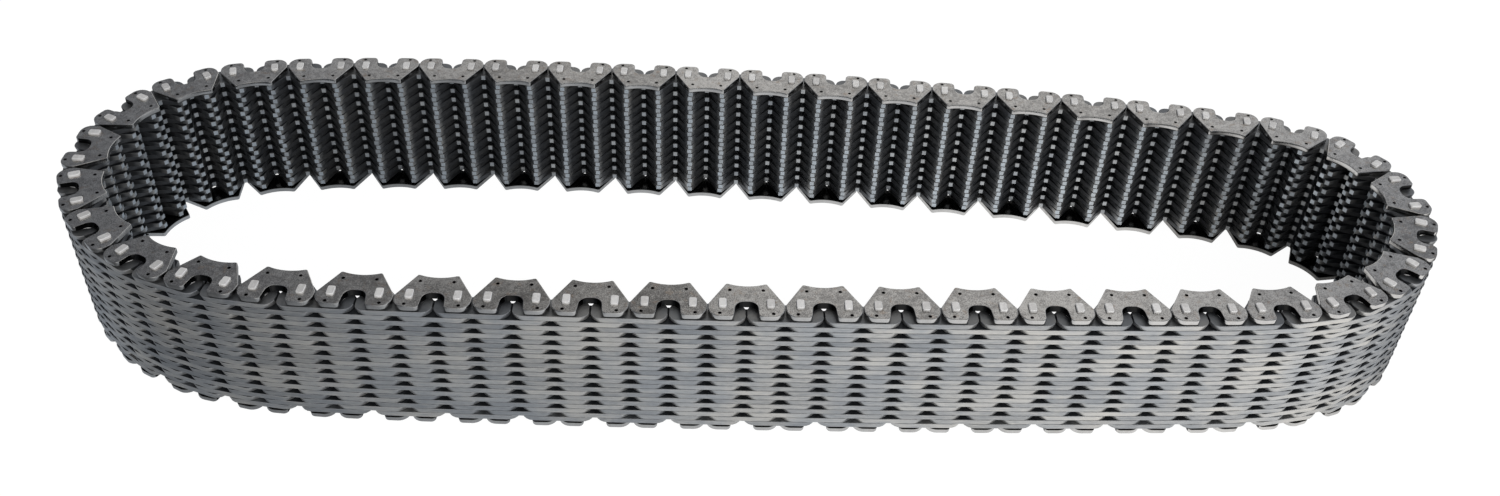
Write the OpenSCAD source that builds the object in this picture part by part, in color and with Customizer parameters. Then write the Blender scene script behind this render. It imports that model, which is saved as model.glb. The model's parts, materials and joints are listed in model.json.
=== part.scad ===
// Silent chain: a closed loop of toothed link plates on rocker pins, laid on its side.
// The teeth face the inside of the loop. Guide links carry the outer plates and the long pins,
// inner links sit between them on short pins, and their plates interleave row by row.

/* [Chain] */
// Distance between joint centres
pitch = 9.525; // [8:0.005:12.7]
// Links in the loop, an even number because guide and inner links take turns
link_count = 86; // [78:2:94]
// Rows of plates across the chain, an odd number
plate_rows = 25; // [9:2:33]

/* [Plates] */
// Thickness of a tooth plate
plate_t = 1.5; // [1:0.05:2]
// Gap between tooth plates of neighbouring rows
side_gap = 0.1; // [0.06:0.01:0.3]
// Gap between the ends of two plates in one row
end_gap = 0.4; // [0.2:0.05:1]
// From the pitch line to the flat back of a plate
back_h = 4.45; // [3.6:0.05:5.5]
// From the pitch line to the tips of the teeth
tooth_h = 6.7; // [5:0.05:7.2]
// Angle of the outer tooth flanks from the plate's middle line
flank_angle = 30; // [26:0.5:33]
// Radius of the shoulders at the plate's ends
shoulder_r = 3.65; // [3.5:0.05:4.5]
// From the back to the centre of that radius, where the plate is longest
shoulder_drop = 3.4; // [3.2:0.05:3.45]
// Width of the flat on each tooth tip
toe_w = 1.2; // [0.6:0.05:1.8]
// From the pitch line to the bottom of the space between a plate's two teeth
crotch_h = 1.9; // [1.5:0.05:3.2]
// Width of the bottom of that space
crotch_w = 1.7; // [1:0.1:2.4]

/* [Guide plates] */
// Thickness of a guide plate
guide_t = 1.4; // [1:0.05:2]
// Gap between a guide plate and the nearest row of tooth plates
guide_gap = 0.4; // [0.1:0.05:0.6]
// Width of the notch in the back
notch_w = 5.2; // [3.6:0.1:5.6]
// How much wider the notch is at its mouth, on each side
notch_flare = 0.45; // [0.2:0.05:0.8]
// Depth of the notch from the back
notch_depth = 5.05; // [3:0.05:5.6]
// Depth of the hollow between the guide plate's two tips
hollow_depth = 0.75; // [0.3:0.05:1.2]

/* [Pins] */
// Radius of the round back of a pin, centred on the joint
pin_r = 2.1; // [1.7:0.05:2.4]
// Gap between a pin and the plates around it
pin_gap = 0.06; // [0.04:0.01:0.1]
// Gap between the two pins of a joint, at their ridges
ridge_gap = 0.1; // [0.06:0.01:0.2]
// How far a long pin stands proud of the guide plates
pin_proud = 0.6; // [0.2:0.05:1.2]
// Slope of a pin's rocking face on the tooth side
tooth_relief = 3; // [2:0.5:5]
// Slope of a pin's rocking face on the back side
back_relief = 12.5; // [11:0.5:14]

/* [Lie of the loop] */
// Joints by which the middle of the left bend lies before the first joint
left_shift = 3.8; // [3:0.1:4.6]
// Joints by which the middle of the right bend lies before the half-way joint
right_shift = 0.65; // [0:0.05:1.3]
// Half the joints that the left bend takes
left_bend_half = 7.8; // [7:0.1:8.4]
// Half the joints that the right bend takes
right_bend_half = 6; // [5.4:0.1:7]
// How much sharper the left bend is at its far end than in its middle
left_lean = 0.53; // [0:0.01:0.6]
// How much sharper the right bend is at its far end than in its middle, negative for the near end
right_lean = -0.35; // [-0.6:0.01:0]
// How sharply a bend runs out into the strands
bend_edge = 8; // [6:2:10]
// Bow of the back strand at each joint, in degrees
back_bow = 0.39; // [0.2:0.01:0.6]
// Links that turn one by one in the left bend
left_single_links = 18; // [14:2:18]
// Links that turn one by one in the right bend
right_single_links = 16; // [12:2:16]

/* [Hidden] */
row_pitch = plate_t + side_gap;
inner_rows = plate_rows - 2;
first_row_z = pin_proud + guide_t + guide_gap;
last_row_top = first_row_z + inner_rows * row_pitch - side_gap;
chain_w = last_row_top + first_row_z;
plate_half = pitch - end_gap / 2;
shoulder_h = back_h - shoulder_drop;
pitch_line_x = end_x(0);
tip_x = pitch_line_x - tooth_h * tan(flank_angle);
toe_x = tip_x - toe_w;
guide_toe_x = tip_x - toe_w / 2;
hole_r = pin_r + pin_gap;
past = 1; // how far a cut runs past the edge that it opens
steel = [0.50, 0.49, 0.47];
dark_steel = [0.36, 0.37, 0.38];
pin_steel = [0.68, 0.66, 0.63];
$fn = 48;

// How the loop lies: the bend at each joint, as a formula, closed by two solved values
joint_numbers = [0 : link_count - 1];
right_mid = link_count / 2 - right_shift;
left_mid = link_count - left_shift;
left_end = [for (i = joint_numbers) bend_share(i, left_mid, left_bend_half, left_lean)];
right_end = [for (i = joint_numbers) bend_share(i, right_mid, right_bend_half, right_lean)];
even_share = 0.5;
closing_steps = 12;
joint_bends = bends(closed([back_bow, even_share], closing_steps));
headings = running_sums(-joint_bends);
raw_joints = concat([[0, 0]], running_sums([for (a = headings) pitch * [cos(a), sin(a)]]));
long_axis = raw_joints[round(right_mid)] - raw_joints[round(left_mid) % link_count];
lie_turn = -atan2(long_axis[1], long_axis[0]);
corner_points = [for (i = joint_numbers, s = [-1, 1]) turned(raw_joints[i], lie_turn)
    + turned([pitch / 2 + s * end_x(back_h), back_h], headings[i] + lie_turn)];
middle = [for (k = [0, 1]) let (reach = [for (c = corner_points) c[k]]) (max(reach) + min(reach)) / 2];

function total(v) = [for (x = v) 1] * v;
function turned(p, a) = [cos(a) * p[0] - sin(a) * p[1], sin(a) * p[0] + cos(a) * p[1]];
function running_sums(v) = [
    for (i = 0, s = v[0]; i < len(v); i = i + 1, s = s + (i < len(v) ? v[i] : v[0])) s
];
function round_the_loop(s) = s - link_count * round(s / link_count);
function bend_share(i, mid, half, lean) = let (s = round_the_loop(i - mid) / half)
    (1 + lean * s) / (1 + pow(abs(s), bend_edge));
function on_back_strand(i) = i > left_mid - link_count && i < right_mid;
function strand_bow(i, front_bow) = (on_back_strand(i) ? back_bow : front_bow)
    * max(0, 1 - left_end[i]) * max(0, 1 - right_end[i]);
function bends(x) = let (
        bow = [for (i = joint_numbers) strand_bow(i, x[0])],
        rest = 360 - total(bow)
    )
    bow + rest * x[1] / total(left_end) * left_end + rest * (1 - x[1]) / total(right_end) * right_end;
function closing_gap(x) = let (h = running_sums(-bends(x)))
    [total([for (a = h) cos(a)]), total([for (a = h) sin(a)])];
function closed(x, tries) = tries == 0 ? x : let (
        step = 0.001,
        g = closing_gap(x),
        a = (closing_gap(x + [step, 0]) - g) / step,
        b = (closing_gap(x + [0, step]) - g) / step,
        det = a[0] * b[1] - a[1] * b[0]
    )
    closed(x - [g[0] * b[1] - g[1] * b[0], a[0] * g[1] - a[1] * g[0]] / det, tries - 1);
function end_x(h) = plate_half - shoulder_r + sqrt(pow(shoulder_r, 2) - pow(h - shoulder_h, 2));

// Which links turn together: one by one in the bends, in pairs along the strands
strand_pairs = (link_count - left_single_links - right_single_links) / 2;
back_pairs = floor(strand_pairs / 2);
front_pairs = strand_pairs - back_pairs;
single_shift = 2; // links by which the middle of the left single links lies before the first joint
first_link = -left_single_links / 2 - single_shift;
after_left = first_link + left_single_links;
after_back = after_left + 2 * back_pairs;
after_right = after_back + right_single_links;
groups = concat(
    [for (k = [0 : left_single_links - 1]) [first_link + k, 1]],
    [for (k = [0 : back_pairs - 1]) [after_left + 2 * k, 2]],
    [for (k = [0 : right_single_links - 1]) [after_back + k, 1]],
    [for (k = [0 : front_pairs - 1]) [after_right + 2 * k, 2]]
);
function link_number(i) = (i + link_count) % link_count;
function two_digits(n) = str(n < 10 ? "0" : "", n);
function is_guide(i) = link_number(i) % 2 == 0;
function group_name(g) = let (n = two_digits(link_number(g[0]) + 1))
    g[1] == 2 ? str("link_pair_", n) : str(is_guide(g[0]) ? "guide_link_" : "inner_link_", n);

// A plate's own frame: joints at x = -pitch/2 and +pitch/2, teeth towards -y, back towards +y
module at_link(i) {
    n = link_number(i);
    place = turned(raw_joints[n], lie_turn) - middle;
    translate(place) rotate(headings[n] + lie_turn) translate([pitch / 2, 0]) children();
}

module both_ends() {
    children();
    mirror([1, 0]) children();
}

// Straight flanks run on past the pitch line until the round shoulders cut them off
module blank() {
    back_x = tip_x + (tooth_h + back_h) * tan(flank_angle);
    difference() {
        polygon([[-tip_x, -tooth_h], [tip_x, -tooth_h], [back_x, back_h], [-back_x, back_h]]);
        both_ends() shoulder_cut();
    }
}

// The circle is turned round so that it starts on the far side of the shoulder
module shoulder_cut() {
    below = shoulder_h / 2;
    translate([plate_half - shoulder_r, -below]) difference() {
        square([2 * shoulder_r, below + back_h + past]);
        translate([0, below + shoulder_h]) rotate(180) circle(shoulder_r);
    }
}

// Half-round pin on the far side of the joint, its rocking face leaning back from a ridge at the joint
module pin_section() {
    reach = 2 * pin_r;
    intersection() {
        circle(pin_r);
        polygon([
            [ridge_gap / 2, 0], [ridge_gap / 2 + reach * tan(tooth_relief), -reach],
            [reach, -reach], [reach, reach], [ridge_gap / 2 + reach * tan(back_relief), reach]
        ]);
    }
}

// Hole of the guide plates, for the long pin alone: its flat side keeps the pin from turning
module guide_hole() {
    intersection() {
        circle(hole_r);
        translate([ridge_gap / 2 - pin_gap, -2 * hole_r]) square(4 * hole_r);
    }
}

module at_joints() {
    both_ends() translate([pitch / 2, 0]) children();
}

module tooth_space() {
    slope = (toe_x - crotch_w / 2) / (tooth_h - crotch_h);
    polygon([
        [-crotch_w / 2, -crotch_h], [crotch_w / 2, -crotch_h],
        [toe_x + past * slope, -tooth_h - past], [-toe_x - past * slope, -tooth_h - past]
    ]);
}

module inner_plate() {
    color(dark_steel) linear_extrude(plate_t) difference() {
        blank();
        at_joints() circle(hole_r);
        tooth_space();
    }
}

module back_notch() {
    arch_r = notch_w / 2;
    arch_y = back_h - notch_depth + arch_r;
    translate([0, arch_y]) circle(arch_r);
    polygon([
        [-arch_r, arch_y], [arch_r, arch_y],
        [arch_r + notch_flare, back_h + past], [-arch_r - notch_flare, back_h + past]
    ]);
}

module tip_hollow() {
    r = (pow(guide_toe_x, 2) + pow(hollow_depth, 2)) / (2 * hollow_depth);
    translate([0, -tooth_h + hollow_depth - r]) circle(r);
}

module guide_plate() {
    color(steel) linear_extrude(guide_t) difference() {
        blank();
        at_joints() guide_hole();
        back_notch();
        tip_hollow();
    }
}

module pins(from, to) {
    color(pin_steel) translate([0, 0, from]) linear_extrude(to - from) at_joints() pin_section();
}

module inner_row(r) {
    translate([0, 0, first_row_z + r * row_pitch]) inner_plate();
}

module guide_link(i) {
    at_link(i) {
        for (z = [pin_proud, chain_w - pin_proud - guide_t]) translate([0, 0, z]) guide_plate();
        for (r = [1 : 2 : inner_rows - 2]) inner_row(r);
        pins(0, chain_w);
    }
}

module inner_link(i) {
    at_link(i) {
        for (r = [0 : 2 : inner_rows - 1]) inner_row(r);
        pins(first_row_z, last_row_top);
    }
}

module link_group(g) {
    for (i = [g[0] : g[0] + g[1] - 1]) {
        if (is_guide(i)) guide_link(i);
        else inner_link(i);
    }
}

for (g = groups) {
    link_group(g);
}
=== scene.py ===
import json
import math

import bpy
import numpy as np
from mathutils import Matrix, Vector, geometry

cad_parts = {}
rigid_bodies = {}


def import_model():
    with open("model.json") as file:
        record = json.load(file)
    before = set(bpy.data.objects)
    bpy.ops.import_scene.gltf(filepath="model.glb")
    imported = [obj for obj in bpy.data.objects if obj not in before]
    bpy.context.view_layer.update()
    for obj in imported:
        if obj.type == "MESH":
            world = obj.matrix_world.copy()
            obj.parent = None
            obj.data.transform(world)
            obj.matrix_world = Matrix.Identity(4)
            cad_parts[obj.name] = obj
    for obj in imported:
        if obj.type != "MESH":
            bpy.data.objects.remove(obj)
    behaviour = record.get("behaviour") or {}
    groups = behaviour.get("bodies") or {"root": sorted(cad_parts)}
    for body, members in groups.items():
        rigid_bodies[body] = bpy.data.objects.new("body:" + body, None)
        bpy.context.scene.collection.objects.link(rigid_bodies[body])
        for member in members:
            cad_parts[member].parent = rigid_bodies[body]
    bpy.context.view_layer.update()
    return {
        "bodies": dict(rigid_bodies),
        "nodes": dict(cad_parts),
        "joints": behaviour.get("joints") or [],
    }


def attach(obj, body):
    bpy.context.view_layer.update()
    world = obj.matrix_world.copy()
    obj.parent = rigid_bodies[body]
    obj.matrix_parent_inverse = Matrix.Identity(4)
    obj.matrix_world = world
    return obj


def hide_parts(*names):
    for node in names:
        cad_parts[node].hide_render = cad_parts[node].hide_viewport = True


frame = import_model()
mm = 0.001
rng = np.random.default_rng(86)
print("frame loaded:", len(frame["nodes"]), "nodes")

# where the links lie, read from the hinges of the frame
chain = {"links": 86, "rows": 23, "plateT": 1.5, "guideT": 1.4, "guideGap": 0.4, "rowPitch": 1.6,
         "pinProud": 0.6}


def jointPlaces():
    # every hinge stands on one joint, numbered like the group of links after it; a joint that has no hinge
    # is filled in from its neighbours on both sides, by the cubic through four of them
    places = np.full((chain["links"], 2), np.nan)
    for hinge in frame["joints"]:
        after = hinge["child"] if hinge["axis"][2] < 0 else hinge["parent"]
        places[int(after[-2:]) - 1] = hinge["pos_m"][:2]
    # the open pivot first, from joints 2 and 4 away, then the joints inside the pairs, from 1 and 3 away
    for near, far, nearShare, farShare in ((2, 4, 4 / 6, -1 / 6), (1, 3, 9 / 16, -1 / 16)):
        empty = np.isnan(places[:, 0])
        inner = np.roll(places, near, axis=0) + np.roll(places, -near, axis=0)
        outer = np.roll(places, far, axis=0) + np.roll(places, -far, axis=0)
        smooth = nearShare * inner + farShare * outer
        between = np.where(np.isnan(smooth), inner / 2, smooth)
        places[empty] = between[empty]
    return places


joints = jointPlaces()
along = np.roll(joints, -1, axis=0) - joints
pitch = float(np.linalg.norm(along, axis=1).mean()) / mm
along /= np.linalg.norm(along, axis=1)[:, None]
middles = (joints + np.roll(joints, -1, axis=0)) / 2
print("pitch", round(pitch, 4), "mm, joints left empty:", int(np.isnan(joints).sum()))


def linksOf(body):
    # the body's links, counted from 0: the one in its name, and for a pair the next one too
    first = int(body[-2:]) - 1
    return [first, first + 1] if body.startswith("link_pair") else [first]


# outlines, in millimetres, in a plate's own frame: joints at half a pitch each side, back up, teeth down
plate = {"endGap": 0.3, "backH": 4.45, "toothH": 6.7, "flankDeg": 30, "cornerTop": (2.4, 2.3),
         "cornerLow": (3.2, 3.0), "cornerSteps": 5, "endLow": 0.05, "toeW": 1.2, "toeSoft": 0.27,
         "crotchH": 1.9, "crotchW": 1.15, "holeR": 2.34, "holeSides": 8, "rim": 0.11}
guide = {"toothH": 7.4, "notchMid": 5.6, "notchMouth": 6.1, "notchFlat": 1.2, "notchPast": 0.8,
         "notchTaper": -0.6, "notchTaperLow": -1.4, "notchSteps": 6, "cornerL": 3.0, "cornerH": 3.0,
         "cornerSteps": 8, "hollow": 0.85, "hollowSteps": 6, "tipR": 0.5, "lobeR": 1.2, "roundSteps": 5,
         "rim": 0.16, "rimSteps": 3, "dimples": ((4.15, -5.05), (6.55, 3.35)), "dimpleR": 0.48,
         "dimpleDeep": 0.7, "dimpleSides": 8, "dimpleRings": ((1, 0), (0.75, 0.7), (0.3, 1)),
         "holeGap": 0.09}
pin = {"r": 2.1, "ridge": 0.05, "toothRelief": 3, "backRelief": 12.5, "ease": 1.4, "corner": 16,
       "round": 0.5, "roundSteps": 2, "longSteps": 6, "shortSteps": 5, "rim": 0.22, "headAt": 1.12,
       "headW": 1.95, "headH": 3.1, "headRound": 0.45, "headRim": 0.14}
tiny = {"zero": 1e-9, "apart": 1e-6, "fill": 1e-7}

half = pitch - plate["endGap"] / 2
slope = math.tan(math.radians(plate["flankDeg"]))
tipX = half - (plate["toothH"] + plate["endLow"]) * slope
guideTipX = half - (guide["toothH"] + plate["endLow"]) * slope


def arc(centre, radius, fromDeg, toDeg, steps):
    # points of a circle, evenly spaced by angle
    t = np.radians(np.linspace(fromDeg, toDeg, steps + 1))
    return np.c_[centre[0] + radius * np.cos(t), centre[1] + radius * np.sin(t)]


def mirrored(right):
    # a half outline on the right, followed by its mirror image on the left
    left = right[::-1] * (-1, 1)
    keep = np.abs(left[:, 0]) > tiny["zero"]
    return np.r_[right, left[keep]]


def filleted(points, radii, steps):
    # each corner becomes an arc that touches both its edges, from r * tan(turn / 2) before it to as much
    # after it, drawn as a quadratic curve whose middle point weighs cos(turn / 2)
    radii = np.broadcast_to(np.asarray(radii, float), len(points))
    back = np.roll(points, 1, axis=0) - points
    ahead = np.roll(points, -1, axis=0) - points
    lengths = np.minimum(np.linalg.norm(back, axis=1), np.linalg.norm(ahead, axis=1))
    back /= np.linalg.norm(back, axis=1)[:, None]
    ahead /= np.linalg.norm(ahead, axis=1)[:, None]
    turn = math.pi - np.arccos(np.clip((back * ahead).sum(1), -1, 1))
    cut = np.minimum(radii * np.tan(turn / 2), 0.48 * lengths)  # never past the middle of an edge
    t = np.linspace(0, 1, steps + 1)[None, :, None]
    a = (points + back * cut[:, None])[:, None]
    b = (points + ahead * cut[:, None])[:, None]
    w = np.where(cut > 0, np.cos(turn / 2), 1)[:, None, None]
    curve = a * (1 - t) ** 2 + 2 * w * t * (1 - t) * points[:, None] + b * t ** 2
    curve /= (1 - t) ** 2 + 2 * w * t * (1 - t) + t ** 2
    flat = curve.reshape(-1, 2)
    apart = np.linalg.norm(flat - np.roll(flat, 1, axis=0), axis=1) > tiny["apart"]
    return flat[apart]


def inset(loop, by):
    # every point moves inwards along the bisector of its two edges, so that the edges keep their distance
    a = loop - np.roll(loop, 1, axis=0)
    b = np.roll(loop, -1, axis=0) - loop
    na = np.c_[-a[:, 1], a[:, 0]] / np.linalg.norm(a, axis=1)[:, None]
    nb = np.c_[-b[:, 1], b[:, 0]] / np.linalg.norm(b, axis=1)[:, None]
    n = na + nb
    return loop + by * 2 * n / (n * n).sum(1)[:, None]


def anticlockwise(loop):
    # turned round where twice its area, the sum of the cross products of neighbouring points, is negative
    x, y = loop.T
    area = (x * np.roll(y, -1) - y * np.roll(x, -1)).sum()
    return loop if area > 0 else loop[::-1]


def endCorner(long, high, steps):
    # the oval corner between a plate's back and its straight end, and the foot of that end
    curve = arc((0, 0), 1, 90, 0, steps) * (long, high) + (half - long, plate["backH"] - high)
    return np.r_[curve, [[half, plate["endLow"]]]]


def toothOutline(corner):
    # half a tooth plate from the middle of its back: back, corner, straight end, flank, toe, tooth space;
    # the flank and the side of the tooth space have one more point near the toe
    foot, toe = np.array([half, plate["endLow"]]), np.array([tipX, -plate["toothH"]])
    heel = toe - (plate["toeW"], 0)
    space = np.array([plate["crotchW"] / 2, -plate["crotchH"]])
    soft = plate["toeSoft"]
    right = np.r_[
        endCorner(*corner, plate["cornerSteps"]),
        [toe + (foot - toe) * soft, toe, heel, heel + (space - heel) * soft, space],
    ]
    return anticlockwise(mirrored(right))


def guideOutline(past):
    # half a guide plate from the top of its notch: flat, corner, notch side, back, end, flank, hollow
    flatX = guide["notchFlat"] / 2
    r = guide["notchMid"] / 2 - flatX
    toe = guideTipX - guide["tipR"]
    hollowR = (toe ** 2 + guide["hollow"] ** 2) / (2 * guide["hollow"])
    low = guide["hollow"] - guide["toothH"]
    spread = math.degrees(math.asin(toe / hollowR))
    notch = np.r_[[[0, -past]], arc((flatX, r - past), r, -90, 0, guide["notchSteps"])]
    end = endCorner(guide["cornerL"], guide["cornerH"], guide["cornerSteps"])
    right = np.r_[
        notch,
        [[guide["notchMouth"] / 2, plate["backH"]]],
        end,
        [[guideTipX, -guide["toothH"]]],
        arc((0, low - hollowR), hollowR, 90 - spread, 90, guide["hollowSteps"]),
    ]
    rounds = np.zeros(len(right))
    rounds[len(notch)] = guide["lobeR"]
    rounds[len(notch) + 1 + len(end)] = guide["tipR"]
    both = np.r_[rounds, rounds[::-1][np.abs(right[::-1, 0]) > tiny["zero"]]]
    return anticlockwise(filleted(mirrored(right), both, guide["roundSteps"]))


def pinOutline(steps):
    # a round back about the joint, closed by two slopes that lean away from a ridge at the joint
    top = 90 - pin["backRelief"] - pin["ease"]
    low = -90 + pin["toothRelief"] + pin["ease"]
    ends = arc((0, 0), pin["r"], low, top, 1)
    back = arc((0, 0), pin["r"], low + pin["corner"], top - pin["corner"], steps)
    rounds = np.zeros(len(back) + 3)
    rounds[[1, -1]] = pin["round"]
    loop = np.r_[[[pin["ridge"], 0]], ends[:1], back, ends[1:]]
    return anticlockwise(filleted(loop, rounds, pin["roundSteps"]))


def headOutline():
    # the squared end of a long pin: a rectangle with rounded corners
    x, y = pin["headW"] / 2, pin["headH"] / 2
    corners = np.array([[x, -y], [x, y], [-x, y], [-x, -y]]) + (pin["headAt"], 0)
    return filleted(corners, pin["headRound"], pin["roundSteps"])


# templates: one mesh for each kind of piece, as points, faces and a mark on the faces of its rims
def rings(loops, heights):
    # a profile of loops at their heights: each loop is joined to the next by a band of four-sided faces
    count = len(loops[0])
    points = np.concatenate([np.c_[loop, np.full(count, z)] for loop, z in zip(loops, heights)])
    a = np.arange(count)
    b = np.roll(a, -1)
    step = (np.arange(len(loops) - 1) * count)[:, None, None]
    bands = (np.c_[a, b, b + count, a + count][None] + step).reshape(-1, 4)
    return points, bands.tolist()


def rimmed(low, high, t, rim, steps):
    # the side of a plate between its two outlines, both edges rounded by quarter circles in steps
    turn = np.radians(np.linspace(0, 90, steps + 1))
    ins, ups = rim * (1 - np.sin(turn)), rim * (1 - np.cos(turn))
    loops = [inset(low, d) for d in ins] + [inset(high, d) for d in ins[::-1]]
    points, bands = rings(loops, np.r_[ups, t - ups[::-1]])
    onRim = np.ones((2 * steps + 1, len(low)))
    onRim[steps] = 0
    return points, bands, onRim.ravel().tolist()


def holeWall(loop, t):
    # the straight wall of a hole, its loop turned round so that the faces look into the hole
    points, bands = rings([loop[::-1], loop[::-1]], [0, t])
    return points, bands, [0] * len(bands)


def dimple(ring, spot, t):
    # a punched dimple in the upper flat: rings that shrink as they go down, and a floor
    widths, depths = np.array(guide["dimpleRings"]).T
    points, bands = rings([ring * w + spot for w in widths], t - guide["dimpleDeep"] * depths)
    floor = range(len(points) - len(ring), len(points))
    return points, bands + [floor], [0] * (len(bands) + 1)


def capped(loop, low, high, rim):
    # a bar at the link's right joint between two heights, its ends closed and their edges broken
    points, bands, onRim = rimmed(loop, loop, high - low, rim, 1)
    count = len(loop)
    ends = [range(count)[::-1], range(len(points) - count, len(points))]
    return points + (pitch / 2, 0, low), bands + ends, onRim + [0, 0]


def joined(meshes):
    # the points one after another, and each mesh's faces counted on from the points before it
    starts = np.cumsum([0] + [len(m[0]) for m in meshes]).tolist()
    points = np.concatenate([m[0] for m in meshes])
    faces = [tuple(i + s for i in f) for m, s in zip(meshes, starts) for f in m[1]]
    marks = [mark for m in meshes for mark in m[2]]
    return points, faces, marks, starts


def filled(loops):
    # triangles that fill the first loop; those whose middle lies in one of the others, which are all convex,
    # are left out
    flat = np.concatenate(loops)
    edges, at = [], 0
    for loop in loops:
        a = np.arange(at, at + len(loop))
        edges += [tuple(e) for e in np.c_[a, np.roll(a, -1)].tolist()]
        at += len(loop)
    got = geometry.delaunay_2d_cdt([Vector(p) for p in flat.tolist()], edges, [], 1, tiny["fill"])
    source = np.array([o[0] for o in got[3]])
    faces = source[np.array(got[2])]
    centres = flat[faces].mean(axis=1)
    for hole in loops[1:]:
        side = np.roll(hole, -1, axis=0) - hole
        away = centres[:, None] - hole
        inHole = (side[:, 0] * away[..., 1] - side[:, 1] * away[..., 0] > 0).all(axis=1)
        faces, centres = faces[~inHole], centres[~inHole]
    return faces


def toothTemplate():
    # outline with bevelled edges, two pin holes, and flats cut in two along a line through the holes
    low, high = toothOutline(plate["cornerLow"]), toothOutline(plate["cornerTop"])
    t, sides, count = chain["plateT"], plate["holeSides"], len(high)
    side = rimmed(low, high, t, plate["rim"], 1)
    hole = arc((0, 0), plate["holeR"], 0, 360, sides)[:-1]
    walls = [holeWall(hole + (s * pitch / 2, 0), t) for s in (-1, 1)]
    points, faces, marks, starts = joined([side, *walls])
    inner = inset(high, plate["rim"])
    right, left = int(np.argmax(inner[:, 0])), int(np.argmin(inner[:, 0]))
    order = np.arange(count)
    upper = np.roll(order, -right)[: (left - right) % count + 1]  # anticlockwise over the back
    lower = np.roll(order, -left)[: (right - left) % count + 1]  # and under the teeth
    # a hole's points run clockwise from its lower right, so the one half way round is at its upper left
    overHole, underHole = [*range(sides // 2, sides), 0], [*range(sides // 2 + 1)]
    for level, ringStart in ((0, 0), (1, len(side[0]) - count)):
        h0, h1 = (s + sides * level for s in starts[1:3])
        over = [h + i for h in (h0, h1) for i in overHole]
        under = [h + i for h in (h1, h0) for i in underHole]
        flats = [(upper + ringStart).tolist() + over, (lower + ringStart).tolist() + under]
        faces += [tuple(f if level else f[::-1]) for f in flats]
    return points, faces, marks + [0] * (len(faces) - len(marks))


def guideTemplate(taper):
    # outline with rounded edges, two pin holes, and a punched dimple on each lobe and tip of the outer flat
    low, high = guideOutline(guide["notchPast"] + taper), guideOutline(guide["notchPast"])
    t, rim, sides, count = chain["guideT"], guide["rim"], guide["dimpleSides"], len(high)
    side = rimmed(low, high, t, rim, guide["rimSteps"])
    section = inset(headOutline(), -guide["holeGap"])
    holes = [anticlockwise(section * (s, 1) + (s * pitch / 2, 0)) for s in (-1, 1)]
    ring = arc((0, 0), guide["dimpleR"], 0, 360, sides)[:-1]
    spots = [(s * x, y) for x, y in guide["dimples"] for s in (-1, 1)]
    punched = [dimple(ring, s, t) for s in spots]
    points, faces, marks, starts = joined([side, *(holeWall(h, t) for h in holes), *punched])
    # the places of each flat's loops in the whole list of points, in the order in which they are filled
    n = len(section)
    wall = n - 1 - np.arange(n)  # a hole's wall runs the other way round
    lowAt = np.concatenate([np.arange(count), *(s + wall for s in starts[1:3])])
    highAt = np.concatenate([len(side[0]) - count + np.arange(count),
                             *(s + n + wall for s in starts[1:3]),
                             *(s + np.arange(sides) for s in starts[3:-1])])
    lowFlat = filled([inset(low, rim), *holes])
    highFlat = filled([inset(high, rim), *holes, *(ring + s for s in spots)])
    faces += [tuple(f) for f in lowAt[lowFlat[:, ::-1]].tolist() + highAt[highFlat].tolist()]
    return points, faces, marks + [0] * (len(faces) - len(marks))


def turnedOver(template, t):
    # a plate seen from its other side: mirrored in its middle plane, its faces turned round
    points, faces, marks = template
    return points * (1, 1, -1) + (0, 0, t), [f[::-1] for f in faces], marks


def otherEnd(template):
    # the piece at the link's other joint: mirrored from right to left, its faces turned round
    points, faces, marks = template
    return points * (-1, 1, 1), [f[::-1] for f in faces], marks


firstRow = chain["pinProud"] + chain["guideT"] + chain["guideGap"]
lastTop = firstRow + (chain["rows"] - 1) * chain["rowPitch"] + chain["plateT"]
wide = firstRow + lastTop
neck = firstRow - chain["guideGap"]
tooth = toothTemplate()
guideUp = guideTemplate(guide["notchTaper"])
guideLow = guideTemplate(guide["notchTaperLow"])
longPin = capped(pinOutline(pin["longSteps"]), neck, wide - neck, pin["rim"])
headLow = capped(headOutline(), 0, firstRow, pin["headRim"])  # the squared ends go through the guide plates
headHigh = capped(headOutline(), lastTop, wide, pin["headRim"])
shortPin = capped(pinOutline(pin["shortSteps"]), firstRow, lastTop, pin["rim"])
print("faces of a tooth plate, a guide plate and a pin:", [len(t[1]) for t in (tooth, guideUp, longPin)])

# shades: painted light and shade on the faces: above 0 a face is darkened with painted shade, below 0 it is
# brightened with a painted highlight
flatZ = 0.95  # a face whose normal leans up this much is a flat
toothTone = {"back": 0.0, "inside": 0.85, "toe": -1.0, "space": -0.35, "rimShade": 0.35, "nearToe": 0.12,
             "hiddenFlat": 1.0, "shownFlat": 0.6, "backTurn": 0.12, "spaceTurn": -0.95, "toeBand": 0.12,
             "fadeBand": 0.3}
guideTone = {"flat": 0.0, "sheenAndWear": -1.0, "side": -0.3, "paintedDark": 1.0, "crevice": 0.92, "hiddenFlat": 0.72,
             "sideMid": -1.4, "sideReach": 3.6, "notchLow": -2.0, "notchMore": 0.1, "lobeShare": 0.6,
             "hiddenZ": 0.01, "dimpleZ": 0.1}


def faceFrames(template):
    # middle of every face, and its unit normal as the cross product of its first and last edges
    points, faces, _ = template
    mids = np.array([points[list(f)].mean(axis=0) for f in faces])
    a, b, c = (points[[f[i] for f in faces]] for i in (0, 1, -1))
    normals = np.cross(b - a, c - a)
    return mids, normals / np.linalg.norm(normals, axis=1)[:, None]


def perCorner(template, values):
    # a value for each face, repeated for each of its corners
    return np.repeat(values, [len(f) for f in template[1]])


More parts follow.
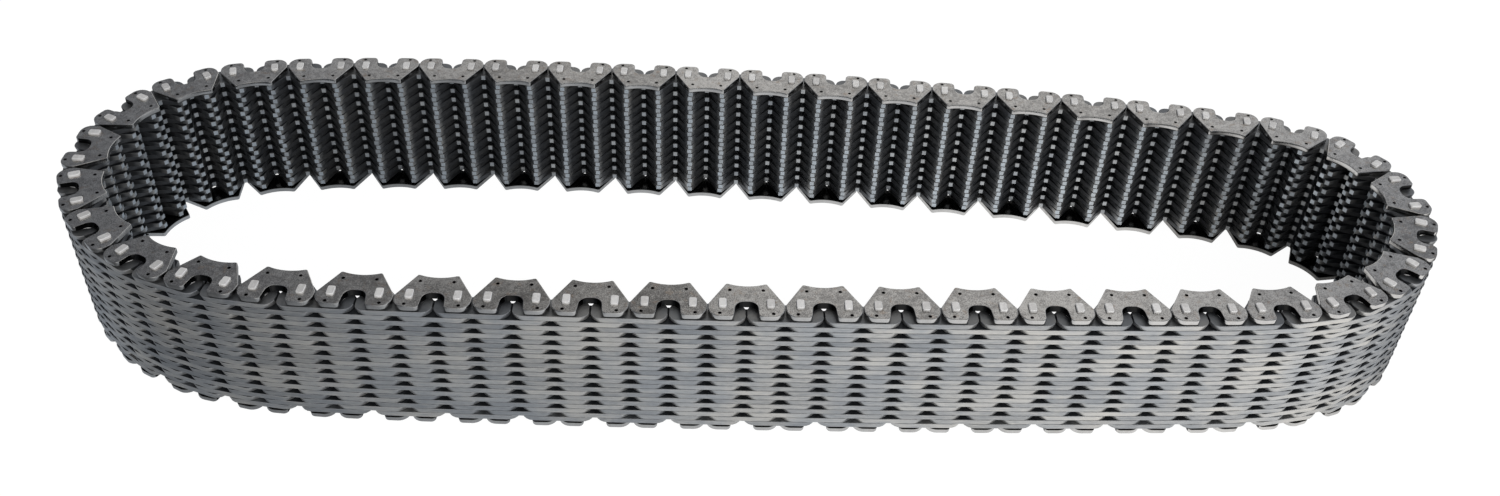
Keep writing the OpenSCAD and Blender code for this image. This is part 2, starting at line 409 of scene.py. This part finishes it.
def toothShade(template, flatShade):
    # painted shade on flanks and straight ends, 0 on backs and corners, a painted highlight on toes and a
    # little in the tooth space; each corner of a face has its own, so that a flank's painted shade fades
    # from dark to nearly 0 at its toe
    s = toothTone
    mids, normals = faceFrames(template)
    onRim = np.array(template[2]) > 0
    lying = np.maximum(np.linalg.norm(normals[:, :2], axis=1), tiny["zero"])
    outwards = normals[:, 1] / lying
    # painted shade on every face that does not face the back: flanks, straight ends and tooth space
    shade = np.where(outwards > s["backTurn"], s["back"], s["inside"])
    # painted highlight on the toes
    onToe = mids[:, 1] < s["toeBand"] - plate["toothH"]
    shade[onToe] = s["toe"]
    # painted highlight in the tooth space
    inSpace = (np.abs(mids[:, 0]) < plate["crotchW"]) & (outwards < s["spaceTurn"]) & (mids[:, 1] < 0)
    shade[inSpace] = s["space"]
    # painted shade on the rims of these bright faces, so that dark lines part the rows
    shade[onRim & (shade < 0)] = s["rimShade"]
    # painted shade on the flats, full between rows, less in the outermost rows
    onFlat = np.abs(normals[:, 2]) > flatZ
    shade[onFlat] = flatShade
    corners = perCorner(template, shade)
    # near the toe the flank's painted shade fades out
    fadeTop = plate["toeSoft"] * (plate["toothH"] - plate["crotchH"]) - plate["toothH"]
    fading = perCorner(template, (mids[:, 1] < fadeTop) & ~onToe & ~onFlat)
    level = template[0][np.concatenate(template[1]), 1]
    corners[fading] = np.where(level[fading] > s["fadeBand"] - plate["toothH"], s["inside"], s["nearToe"])
    return corners


def guideShade(template):
    # 0 on the outer flat, a painted highlight on the sides, most at back and tips, painted shade in the
    # notch, in the dimples, in the crevice under the plate and on the hidden flat
    s = guideTone
    mids, normals = faceFrames(template)
    flat = np.abs(normals[:, 2]) > flatZ
    inNotch = np.abs(mids[:, 0]) < guide["notchMouth"] / 2 + s["notchMore"]
    inNotch &= (mids[:, 1] > s["notchLow"]) & ~flat
    inNotch &= mids[:, 1] < plate["backH"] - guide["lobeR"] * s["lobeShare"]
    # painted highlight on the sides, strongest far from the middle of the plate
    sides = np.where(np.abs(mids[:, 1] - s["sideMid"]) > s["sideReach"], s["sheenAndWear"], s["side"])
    shade = np.where(flat, s["flat"], sides)
    # painted shade in the notch
    shade[inNotch] = s["paintedDark"]
    # painted shadow on the lower rim, in the crevice under the plate
    shade[mids[:, 2] < guide["rim"]] = s["crevice"]
    # painted shade on the flat that faces the plates
    shade[flat & (mids[:, 2] < s["hiddenZ"])] = s["hiddenFlat"]
    # painted shade in the dimples
    for x, y in guide["dimples"]:
        away = np.hypot(np.abs(mids[:, 0]) - x, mids[:, 1] - y)
        shade[(away < guide["dimpleR"]) & (mids[:, 2] > s["dimpleZ"])] = s["paintedDark"]
    return perCorner(template, shade)


def dressed(finish, template, shade=None):
    # a piece: the number of its finish, its template, and a shade for each corner, 0 where none is given
    bare = perCorner(template, np.zeros(len(template[1])))
    return finish, template, bare if shade is None else shade


finishOf = {"tooth": 0, "guide": 1, "pin": 2}
# full painted shade on the flats of the inner rows, which show only in the gaps between plates
toothIn = dressed(finishOf["tooth"], tooth, toothShade(tooth, toothTone["hiddenFlat"]))
# the same plate in the outermost rows, where its flat shows in the notches and gets less painted shade
toothOut = dressed(finishOf["tooth"], tooth, toothShade(tooth, toothTone["shownFlat"]))
guideTop = dressed(finishOf["guide"], guideUp, guideShade(guideUp))
guideBottom = dressed(finishOf["guide"], turnedOver(guideLow, chain["guideT"]), guideShade(guideLow))
longPins = [longPin, headLow, headHigh, *map(otherEnd, (longPin, headLow, headHigh))]
longPins = [dressed(finishOf["pin"], p) for p in longPins]
shortPins = [dressed(finishOf["pin"], p) for p in (shortPin, otherEnd(shortPin))]


def piecesOf(link):
    # (piece, height) of everything on one link: guide links have even numbers here and fill the odd rows
    isGuide = link % 2 == 0
    pins = [(p, 0) for p in (longPins if isGuide else shortPins)]
    rows = range(1 if isGuide else 0, chain["rows"], 2)
    outermost = (0, chain["rows"] - 1)
    plates = [(toothOut if r in outermost else toothIn, firstRow + r * chain["rowPitch"]) for r in rows]
    guides = [(guideBottom, chain["pinProud"]), (guideTop, lastTop + chain["guideGap"])]
    return pins + plates + (guides if isGuide else [])


def placed(points, link, z):
    # the plate's frame laid along its link: x along the chain, y across it, towards the back of the plate
    ex = along[link]
    ey = np.array((-ex[1], ex[0]))
    flat = middles[link] + mm * (points[:, :1] * ex + points[:, 1:2] * ey)
    return np.c_[flat, mm * (points[:, 2] + z)]


smoothing = {"sharpDeg": 34, "flatZ": 0.999}


def bodyMesh(body, materials):
    # all pieces of the body's links in one mesh: each piece draws one tone, and brings its rims and shades
    laid, tones, finishes, shades = [], [], [], []
    for link in linksOf(body):
        for (finish, (points, faces, marks), shade), z in piecesOf(link):
            laid.append((placed(points, link, z), faces, marks))
            tones += [rng.random()] * len(faces)
            finishes += [finish] * len(faces)
            shades.append(shade)
    points, faces, rims, _ = joined(laid)
    mesh = bpy.data.meshes.new(body + "_links")
    mesh.from_pydata(points.tolist(), [], faces)
    for m in materials:
        mesh.materials.append(m)
    mesh.polygons.foreach_set("material_index", np.array(finishes, np.int32))
    corners = np.concatenate(shades)
    layers = (("plateTone", tones, "FACE"), ("edgeRim", rims, "FACE"), ("faceShade", corners, "CORNER"))
    for name, values, domain in layers:
        layer = mesh.attributes.new(name, "FLOAT", domain)
        layer.data.foreach_set("value", np.array(values, np.float32))
    mesh.update()
    mesh.validate()
    mesh.set_sharp_from_angle(angle=math.radians(smoothing["sharpDeg"]))
    normals = np.empty(3 * len(faces), np.float32)
    mesh.polygons.foreach_get("normal", normals)
    leaning = np.abs(normals[2::3]) < smoothing["flatZ"]  # the flats stay flat
    mesh.polygons.foreach_set("use_smooth", leaning)
    return mesh


# finishes
class Knob:
    # wraps a node's output socket, so that sums on values add Math nodes
    def __init__(self, tree, socket):
        self.tree, self.socket = tree, socket

    def node(self, kind, settings, values, out=0):
        # any node: its settings, its inputs as values or as knobs to link, and the output that is wanted
        made = self.tree.nodes.new(kind)
        for key, value in settings.items():
            setattr(made, key, value)
        for key, value in values.items():
            if isinstance(value, Knob):
                self.tree.links.new(value.socket, made.inputs[key])
            else:
                made.inputs[key].default_value = value
        return Knob(self.tree, made.outputs[out])

    def into(self, shader, name):
        # this value feeds a named input
        self.tree.links.new(self.socket, shader.inputs[name])

    def maths(self, operation, a, b):
        # one Math node
        return self.node("ShaderNodeMath", {"operation": operation}, {0: a, 1: b})

    def __add__(self, o):
        return self.maths("ADD", self, o)

    def __radd__(self, o):
        return self.maths("ADD", o, self)

    def __sub__(self, o):
        return self.maths("SUBTRACT", self, o)

    def __rsub__(self, o):
        return self.maths("SUBTRACT", o, self)

    def __mul__(self, o):
        return self.maths("MULTIPLY", self, o)

    def __rmul__(self, o):
        return self.maths("MULTIPLY", o, self)

    def swing(self, by):
        # a value between 0 and 1 becomes one on both sides of 0
        return (self - 0.5) * by

    def ramp(self, low, high):
        # 0 below low, 1 above high, smooth between
        return self.node("ShaderNodeMapRange", {"interpolation_type": "SMOOTHSTEP"},
                         {"Value": self, "From Min": low, "From Max": high})

    def noise(self, place, scale, detail, rough=0.5):
        # cloudy noise about one half
        return self.node("ShaderNodeTexNoise", {},
                         {"Vector": place, "Scale": scale, "Detail": detail, "Roughness": rough})

    def scaled(self, by):
        # a place, with each axis times its own factor
        return self.node("ShaderNodeVectorMath", {"operation": "MULTIPLY"}, {0: self, 1: by})

    def xyz(self):
        # the three parts of a place or direction
        split = self.node("ShaderNodeSeparateXYZ", {}, {0: self})
        return [Knob(self.tree, o) for o in split.socket.node.outputs]

    def mix(self, share, a, b):
        # colours, by share
        return self.node("ShaderNodeMix", {"data_type": "RGBA"}, {0: share, 6: a, 7: b}, 2)


def newMaterial(name, look):
    # a metal, with the knobs for its place and for the tone, rim and shade that every mesh carries
    material = bpy.data.materials.new(name)
    material.use_nodes = True
    shader = material.node_tree.nodes["Principled BSDF"]
    shader.inputs["Metallic"].default_value = look["metal"]
    k = Knob(material.node_tree, None)
    place = k.node("ShaderNodeTexCoord", {}, {}, "Object")
    names = ("plateTone", "edgeRim", "faceShade")
    layers = [k.node("ShaderNodeAttribute", {"attribute_name": n}, {}, "Fac") for n in names]
    return material, shader, k, place, *layers


def finished(shader, k, look, colour, rough, height):
    # colour, roughness and bumps go into the shader
    colour.into(shader, "Base Color")
    rough.into(shader, "Roughness")
    bumps = {"Strength": look["bump"], "Distance": look["bumpDeep"], "Height": height}
    k.node("ShaderNodeBump", {}, bumps).into(shader, "Normal")


# a noise is given as scale, detail and roughness, and what ends in By is how far a noise or tone swings the
# mix of two colours
# the near-black colour is painted shade in the notch, the dimples, the crevice and on the hidden flat; the
# palest is wear on the rims and a painted highlight on the sides
guideLook = {"dark": (0.20, 0.194, 0.188, 1), "light": (0.50, 0.487, 0.468, 1),
             "stain": (0.30, 0.235, 0.185, 1), "sheenAndWear": (0.60, 0.59, 0.575, 1),
             "paintedDark": (0.02, 0.02, 0.02, 1), "mottle": (190, 5, 0.62), "cloud": (820, 4, 0.6),
             "grain": (3600, 3), "stains": (520, 4, 0.65), "pits": (2300, 4, 0.7),
             "stainFrom": (0.55, 0.72), "stained": 0.6, "mottleBy": 1.2, "toneBy": 0.4, "cloudBy": 1.7,
             "grainBy": 2.6, "middle": 0.5, "spread": (-0.15, 1.15), "rimSheenAndWear": 0.6, "sheenAndWearMottle": 0.9,
             "sheenAndWearLeast": 0.3, "rough": 0.19, "roughGrain": 0.16, "roughMottle": 0.15, "roughStain": 0.08,
             "roughRim": 0.08, "bump": 0.16, "bumpDeep": 0.00012, "metal": 1.0}


def guideSteel():
    # tumbled plate: soft mottle, small brown stains, a fine grain, rims bright with wear and painted
    # highlight, a painted highlight on the sides and painted shade in the notch, the dimples and the crevice
    s = guideLook
    material, shader, k, place, tone, rim, shade = newMaterial("guide plate steel", s)
    mottle, cloud, grain, pits = (k.noise(place, *s[n]) for n in ("mottle", "cloud", "grain", "pits"))
    stains = k.noise(place, *s["stains"]).ramp(*s["stainFrom"])
    share = mottle.swing(s["mottleBy"]) + tone.swing(s["toneBy"]) + cloud.swing(s["cloudBy"])
    share = share + grain.swing(s["grainBy"]) + s["middle"]
    colour = k.mix(share.ramp(*s["spread"]), s["dark"], s["light"])
    colour = k.mix(stains * s["stained"], colour, s["stain"])
    # the share of painted shade, from faces whose shade is above 0
    paintedShadeShare = k.maths("MAXIMUM", shade, 0.0)
    # the pale colour: a painted highlight on the sides, and on the rims wear and highlight together
    outer = k.maths("MAXIMUM", shade * -1.0, rim * (1 - paintedShadeShare) * s["rimSheenAndWear"])
    colour = k.mix(outer * (mottle * s["sheenAndWearMottle"] + s["sheenAndWearLeast"]), colour, s["sheenAndWear"])
    # painted shade: near black in the notch, the dimples, the crevice and on the hidden flat
    colour = k.mix(paintedShadeShare, colour, s["paintedDark"])
    rough = grain.swing(s["roughGrain"]) + mottle.swing(s["roughMottle"]) + stains * s["roughStain"]
    rough = rough + s["rough"] - rim * s["roughRim"]
    finished(shader, k, s, colour, rough, pits)
    return material


# the near-black colour is painted shade on flanks, straight ends and hidden flats; the pale cool one is a
# painted highlight on the toes and in the tooth space
toothLook = {"cool": (0.41, 0.43, 0.45, 1), "warm": (0.62, 0.60, 0.56, 1), "deep": (0.17, 0.178, 0.19, 1),
             "rim": (0.60, 0.605, 0.61, 1), "inside": (0.052, 0.055, 0.061, 1),
             "toe": (0.56, 0.61, 0.65, 1), "streakLong": (160, 160, 3000), "streak": (1.0, 5, 0.65),
             "fineLong": (600, 600, 7000), "fine": (1.0, 4, 0.6), "patches": (62, 4, 0.6), "streakBy": 0.9,
             "patchBy": 1.7, "toneBy": 0.25, "middle": 0.5, "spread": (0.1, 0.95), "fineDeep": 2.0,
             "toneDeep": 0.6, "streakDeep": 1.2, "middleDeep": 0.6, "deepest": 0.55, "rimShare": 0.3,
             "toeFine": 0.7, "toeTone": 0.7, "toeLeast": 0.1, "rough": 0.43, "roughFine": 0.3,
             "roughStreak": 0.25, "bump": 0.15, "bumpDeep": 0.0001, "metal": 0.8}


def toothSteel():
    # painted shade on flanks and hidden flats, a painted highlight on toes and in the tooth space
    # stamped edges: streaks along each plate, cool and warm patches, each plate a little lighter or darker
    s = toothLook
    material, shader, k, place, tone, rim, shade = newMaterial("tooth plate steel", s)
    streak = k.noise(place.scaled(s["streakLong"]), *s["streak"])
    fine = k.noise(place.scaled(s["fineLong"]), *s["fine"])
    patches = k.noise(place, *s["patches"])
    share = streak.swing(s["streakBy"]) + patches.swing(s["patchBy"]) + tone.swing(s["toneBy"]) + s["middle"]
    colour = k.mix(share.ramp(*s["spread"]), s["cool"], s["warm"])
    light = fine.swing(s["fineDeep"]) + tone.swing(s["toneDeep"]) + streak.swing(s["streakDeep"])
    light = (light + s["middleDeep"]).ramp(0.0, 1.0)
    colour = k.mix(s["deepest"] - light * s["deepest"], colour, s["deep"])
    colour = k.mix(rim * s["rimShare"], colour, s["rim"])
    # painted highlight on the toes and in the tooth space, in the pale cool toe colour
    toe = k.maths("MAXIMUM", shade * -1.0, 0.0)
    colour = k.mix(toe * (fine * s["toeFine"] + tone * s["toeTone"] + s["toeLeast"]), colour, s["toe"])
    # painted shade: flanks, straight ends and flats darken towards the near-black colour
    colour = k.mix(k.maths("MAXIMUM", shade, 0.0), colour, s["inside"])
    rough = fine.swing(s["roughFine"]) + streak.swing(s["roughStreak"]) + s["rough"]
    finished(shader, k, s, colour, rough, fine + streak)
    return material


pinLook = {"dark": (0.70, 0.68, 0.655, 1), "light": (0.93, 0.91, 0.88, 1), "edge": (0.95, 0.94, 0.92, 1),
           "mottle": (700, 4), "rubLong": (4200, 1400, 1400), "rub": (1.0, 3), "mottleBy": 1.2,
           "toneBy": 0.6, "rubBy": 0.7, "middle": 0.5, "spread": (0.1, 0.9), "edgeShare": 0.7,
           "rough": 0.42, "roughRub": 0.3, "bump": 0.1, "bumpDeep": 0.0001, "metal": 0.3}


def pinSteel():
    # ground pins with rubbed ends, lighter than the plates
    s = pinLook
    material, shader, k, place, tone, rim, _ = newMaterial("pin steel", s)
    mottle = k.noise(place, *s["mottle"])
    rub = k.noise(place.scaled(s["rubLong"]), *s["rub"])
    share = mottle.swing(s["mottleBy"]) + tone.swing(s["toneBy"]) + rub.swing(s["rubBy"]) + s["middle"]
    colour = k.mix(share.ramp(*s["spread"]), s["dark"], s["light"])
    colour = k.mix(rim * s["edgeShare"], colour, s["edge"])
    finished(shader, k, s, colour, rub.swing(s["roughRub"]) + s["rough"], rub)
    return material


metals = [toothSteel(), guideSteel(), pinSteel()]
for body in frame["bodies"]:
    piece = bpy.data.objects.new(body + "_links", bodyMesh(body, metals))
    bpy.context.scene.collection.objects.link(piece)
    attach(piece, body)
    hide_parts(body)
    piece.data.calc_loop_triangles()


# floor, light and camera
def blank(owner):
    # an empty node tree for a material or a world
    owner.use_nodes = True
    owner.node_tree.nodes.clear()
    return Knob(owner.node_tree, None)


# pairs are where a ramp along x or y starts and ends, in metres
floorLook = {"size": 6.0, "grey": (0.86, 0.86, 0.86, 1), "glow": 0.88, "white": 1.1,
             "acrossX": (-0.24, 0.16), "mirrorBy": 1.18, "mirrorLeast": 0.02, "loopFront": (-0.06, -0.02),
             "loopBack": (0.03, 0.06), "leftX": (-0.17, -0.11), "leftMore": 0.40, "rightX": (0.10, 0.16),
             "rightLess": 1.05, "plain": (1, 1, 1, 1), "cool": (0.88, 0.96, 1.06, 1)}


def floorMaterial():
    # white for the camera with a share of its shading left, and for the metal paler towards the right;
    # inside the loop the metal sees it paler at the left end and darker at the right end, a painted
    # reflection of light and shadow there
    s = floorLook
    material = bpy.data.materials.new("pale floor")
    k = blank(material)
    rays = ("Is Camera Ray", "Is Glossy Ray", "Is Transmission Ray")
    seen, shiny, through = (k.node("ShaderNodeLightPath", {}, {}, r) for r in rays)
    x, y, _ = k.node("ShaderNodeTexCoord", {}, {}, "Object").xyz()
    across = x.ramp(*s["acrossX"])
    # painted reflection inside the loop: paler at its left end, a painted shadow at its right end
    inLoop = y.ramp(*s["loopFront"]) * (1 - y.ramp(*s["loopBack"]))
    ends = (1 - x.ramp(*s["leftX"])) * s["leftMore"] - x.ramp(*s["rightX"]) * s["rightLess"]
    forMetal = (across * s["mirrorBy"] + s["mirrorLeast"] + inLoop * ends) * shiny
    lit = k.node("ShaderNodeBsdfDiffuse", {}, {"Color": s["grey"]})
    level = (seen + through) * s["white"] + forMetal
    tint = k.mix(shiny * (1 - across), s["plain"], s["cool"])
    glow = k.node("ShaderNodeEmission", {}, {"Color": tint, "Strength": level})
    share = (seen + through + shiny) * s["glow"]
    both = k.node("ShaderNodeMixShader", {}, {0: share, 1: lit, 2: glow})
    both.into(k.tree.nodes.new("ShaderNodeOutputMaterial"), "Surface")
    return material


def floorPlane():
    # one square face at height 0 about the middle
    h = floorLook["size"] / 2
    mesh = bpy.data.meshes.new("floor")
    mesh.from_pydata([(-h, -h, 0), (h, -h, 0), (h, h, 0), (-h, h, 0)], [], [(0, 1, 2, 3)])
    mesh.materials.append(floorMaterial())
    floor = bpy.data.objects.new("floor", mesh)
    bpy.context.scene.collection.objects.link(floor)


# pairs are where a ramp over the x, y or z of a direction starts and ends
worldLook = {"soft": 1.3, "wall": 0.80, "wallZ": (0.570, 0.638), "fall": 0.24, "fallMore": 0.34,
             "fallX": (-0.36, -0.02), "left": 0.20, "leftMore": 0.80, "leftX": (-0.50, 0.05),
             "rightLess": 0.55, "rightX": (0.28, 0.48), "window": 0.71, "windowX": (-0.03, 0.03),
             "windowY": (-0.1, 0.3), "plain": (1, 1, 1, 1), "cool": (0.90, 0.95, 1.05, 1),
             "coolLeft": (-0.42, -0.1), "coolRight": (0.3, 0.5)}


def studioWorld():
    # white where the camera looks, and for the metal a pale wall that darkens upwards and to the left, with
    # a window in its right half
    s = worldLook
    world = bpy.data.worlds.new("studio")
    bpy.context.scene.world = world
    k = blank(world)
    x, y, z = k.node("ShaderNodeTexCoord", {}, {}, "Generated").xyz()
    fall = s["fall"] + x.ramp(*s["fallX"]) * s["fallMore"]
    wall = s["wall"] - z.ramp(*s["wallZ"]) * fall
    left = s["left"] + x.ramp(*s["leftX"]) * s["leftMore"]
    right = 1 - x.ramp(*s["rightX"]) * s["rightLess"]
    window = x.ramp(*s["windowX"]) * y.ramp(*s["windowY"]) * s["window"]
    wallLight = k.maths("MAXIMUM", wall * left, window) * right
    seen = k.node("ShaderNodeLightPath", {}, {}, "Is Camera Ray")
    strength = seen + (1 - seen) * (wallLight * s["soft"])
    ends = k.maths("MAXIMUM", 1 - x.ramp(*s["coolLeft"]), x.ramp(*s["coolRight"])) * (1 - seen)
    tint = k.mix(ends, s["plain"], s["cool"])
    back = k.node("ShaderNodeBackground", {}, {"Color": tint, "Strength": strength})
    back.into(k.tree.nodes.new("ShaderNodeOutputWorld"), "Surface")


boxLook = {"at": (0.45, -0.95, 0.55), "size": 0.9, "watts": 10}


def softBox():
    # a square lamp in front on the right, turned towards the middle
    lamp = bpy.data.lights.new("soft box", "AREA")
    lamp.energy, lamp.size = boxLook["watts"], boxLook["size"]
    box = bpy.data.objects.new("soft box", lamp)
    box.location = boxLook["at"]
    box.rotation_mode = "QUATERNION"
    box.rotation_quaternion = (-Vector(boxLook["at"])).to_track_quat("-Z", "Y")
    box.visible_glossy = False  # its light is wanted, not its mirror image in the plates
    bpy.context.scene.collection.objects.link(box)


view = {"at": (-11.23, -310.76, 277.3), "turn": -2.238, "down": 40.059, "roll": 2.552, "lens": 34.5,
        "sensor": 36.0, "nearest": 0.01, "farthest": 50}


def camera():
    # level axes first, then tilted down, then rolled about the line of sight
    turn, down, roll = (math.radians(view[n]) for n in ("turn", "down", "roll"))
    right = Vector((math.cos(turn), math.sin(turn), 0))
    level = Vector((-math.sin(turn), math.cos(turn), 0))
    up = Vector((0, 0, 1))
    sight = level * math.cos(down) - up * math.sin(down)
    head = level * math.sin(down) + up * math.cos(down)
    r = right * math.cos(roll) + head * math.sin(roll)
    u = head * math.cos(roll) - right * math.sin(roll)
    data = bpy.data.cameras.new("camera")
    data.lens, data.sensor_width = view["lens"], view["sensor"]
    data.clip_start, data.clip_end = view["nearest"], view["farthest"]
    cam = bpy.data.objects.new("camera", data)
    axes = Matrix((r, u, -sight)).transposed().to_4x4()
    cam.matrix_world = Matrix.Translation(Vector(view["at"]) * mm) @ axes
    bpy.context.scene.collection.objects.link(cam)
    bpy.context.scene.camera = cam


floorPlane()
studioWorld()
softBox()
camera()
bpy.context.scene.view_settings.view_transform = "Standard"
print("studio ready")
